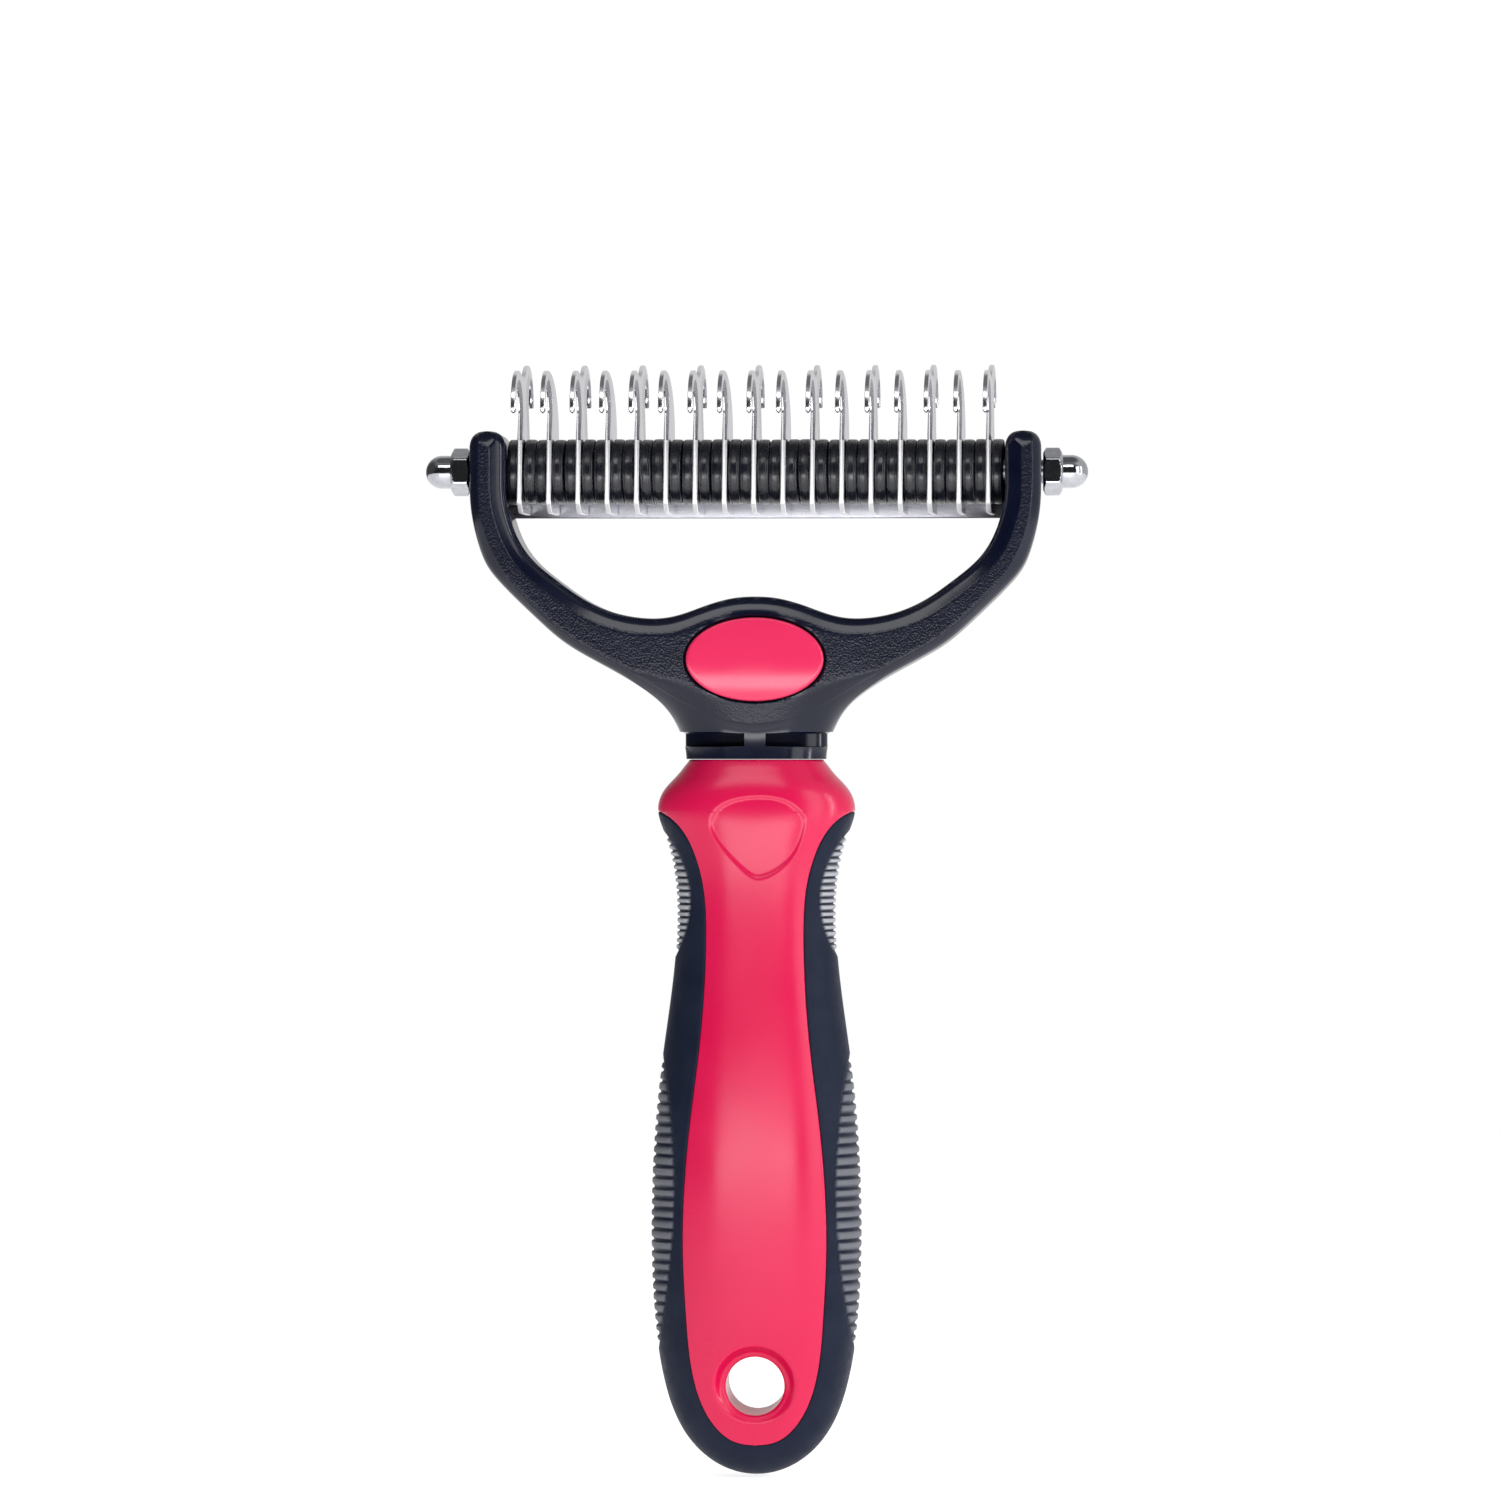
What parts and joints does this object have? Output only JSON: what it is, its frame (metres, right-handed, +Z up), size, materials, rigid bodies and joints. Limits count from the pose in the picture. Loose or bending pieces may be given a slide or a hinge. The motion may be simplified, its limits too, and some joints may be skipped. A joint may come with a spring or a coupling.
{
  "type": "undercoat rake",
  "caption": "Two-sided pet undercoat rake: hooked steel blades and rubber washers clamped on an axle across a black yoke, on a pink handle with a ribbed soft grip and a hanging hole.",
  "frame": {"origin": "Middle of the handle's grip, on the handle's centre line, where a hand holds the tool.", "axes": "+Z runs up the handle to the blades, +X along the axle, and -Y out of the front face with the 17-hook side."},
  "size_m": [0.1104, 0.0278, 0.1848],
  "materials": {
    "handle_pink": "satin-gloss moulded plastic",
    "badge_pink": "gloss moulded plastic inlay",
    "grip_black": "satin soft-touch rubber with fine ribs",
    "yoke_black": "fine leather-textured plastic with smooth rims",
    "washer_rubber": "satin rubber",
    "blade_steel": "polished stainless steel",
    "rail_steel": "brushed stainless steel",
    "axle_steel": "plain steel rod",
    "nut_chrome": "polished plating"
  },
  "bodies": {
    "rake": {"yoke": "yoke_black", "badge_front": "badge_pink", "badge_back": "badge_pink", "handle_core": "handle_pink", "grip": "grip_black", "axle": "axle_steel", "blade_rail": "rail_steel", "blade_01": "blade_steel", "blade_02": "blade_steel", "blade_03": "blade_steel", "blade_04": "blade_steel", "blade_05": "blade_steel", "blade_06": "blade_steel", "blade_07": "blade_steel", "blade_08": "blade_steel", "blade_09": "blade_steel", "blade_10": "blade_steel", "blade_11": "blade_steel", "blade_12": "blade_steel", "blade_13": "blade_steel", "blade_14": "blade_steel", "blade_15": "blade_steel", "blade_16": "blade_steel", "blade_17": "blade_steel", "washer_01": "washer_rubber", "washer_02": "washer_rubber", "washer_03": "washer_rubber", "washer_04": "washer_rubber", "washer_05": "washer_rubber", "washer_06": "washer_rubber", "washer_07": "washer_rubber", "washer_08": "washer_rubber", "washer_09": "washer_rubber", "washer_10": "washer_rubber", "washer_11": "washer_rubber", "washer_12": "washer_rubber", "washer_13": "washer_rubber", "washer_14": "washer_rubber", "washer_15": "washer_rubber", "washer_16": "washer_rubber", "washer_17": "washer_rubber", "washer_18": "washer_rubber", "washer_19": "washer_rubber", "washer_20": "washer_rubber", "washer_21": "washer_rubber", "washer_22": "washer_rubber", "washer_23": "washer_rubber", "washer_24": "washer_rubber", "washer_25": "washer_rubber", "washer_26": "washer_rubber", "washer_27": "washer_rubber", "washer_28": "washer_rubber", "washer_29": "washer_rubber", "washer_30": "washer_rubber", "washer_31": "washer_rubber", "washer_32": "washer_rubber", "washer_33": "washer_rubber", "washer_34": "washer_rubber"},
    "left_nut": {"dome_nut_left": "nut_chrome"},
    "right_nut": {"dome_nut_right": "nut_chrome"}
  },
  "joints": [
    {"name": "left_nut_turn", "type": "hinge", "parent": "rake", "child": "left_nut", "pos_m": [-0.0477, 0, 0.1068], "axis": [1, 0, 0], "continuous": true},
    {"name": "right_nut_turn", "type": "hinge", "parent": "rake", "child": "right_nut", "pos_m": [0.0477, 0, 0.1068], "axis": [1, 0, 0], "continuous": true}
  ]
}
